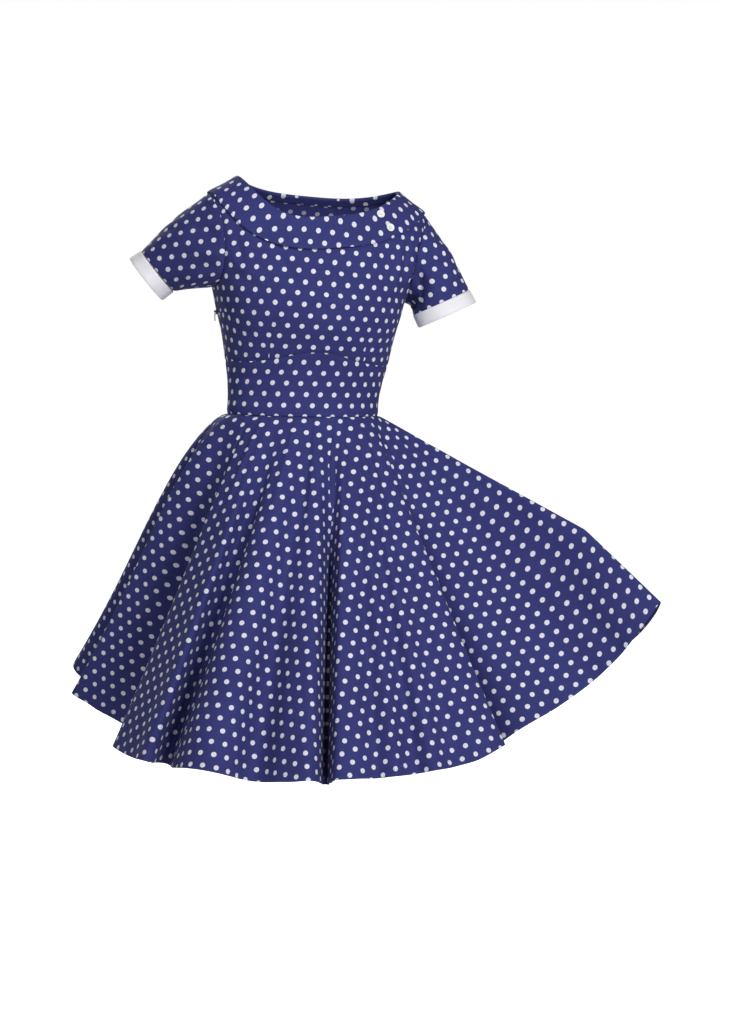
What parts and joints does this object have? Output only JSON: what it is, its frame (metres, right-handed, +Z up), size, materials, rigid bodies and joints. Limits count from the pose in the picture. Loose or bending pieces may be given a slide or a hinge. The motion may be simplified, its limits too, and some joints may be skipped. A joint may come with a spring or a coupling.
{
  "type": "a-line dress",
  "caption": "Knee-length dress with a wide boat-neck collar, short cuffed sleeves, a fitted midriff and a full circle skirt, held out at one side.",
  "frame": {"origin": "midway between the two points where the neck edge meets the shoulder seams, where the worn dress is held", "axes": "+Z up with the wearer standing, -Y the way the bodice faces, +X the wearer's left"},
  "size_m": [0.9943, 0.8702, 1.0564],
  "materials": {
    "navy_cotton": "woven cotton, navy with white polka dots, matt with a faint sheen",
    "white_cotton": "woven cotton, white, matt",
    "button_plastic": "pearly white, glossy",
    "zip_metal": "dark blue enamel, semi-gloss"
  },
  "bodies": {
    "dress": {"bodice_front": "navy_cotton", "bodice_back": "navy_cotton", "midriff_front": "navy_cotton", "midriff_back": "navy_cotton", "collar": "navy_cotton", "sleeve_left": "navy_cotton", "sleeve_right": "navy_cotton", "cuff_left": "white_cotton", "cuff_right": "white_cotton", "skirt_front": "navy_cotton", "skirt_back": "navy_cotton", "button_neck": "button_plastic", "button_collar": "button_plastic", "zip_slider": "zip_metal"},
    "pull": {"zip_pull": "zip_metal"}
  },
  "joints": [
    {"name": "zip_pull_hinge", "type": "hinge", "parent": "dress", "child": "pull", "pos_m": [-0.18805, 0, -0.22539], "axis": [0, 1, 0], "range_deg": [0, 150]}
  ]
}
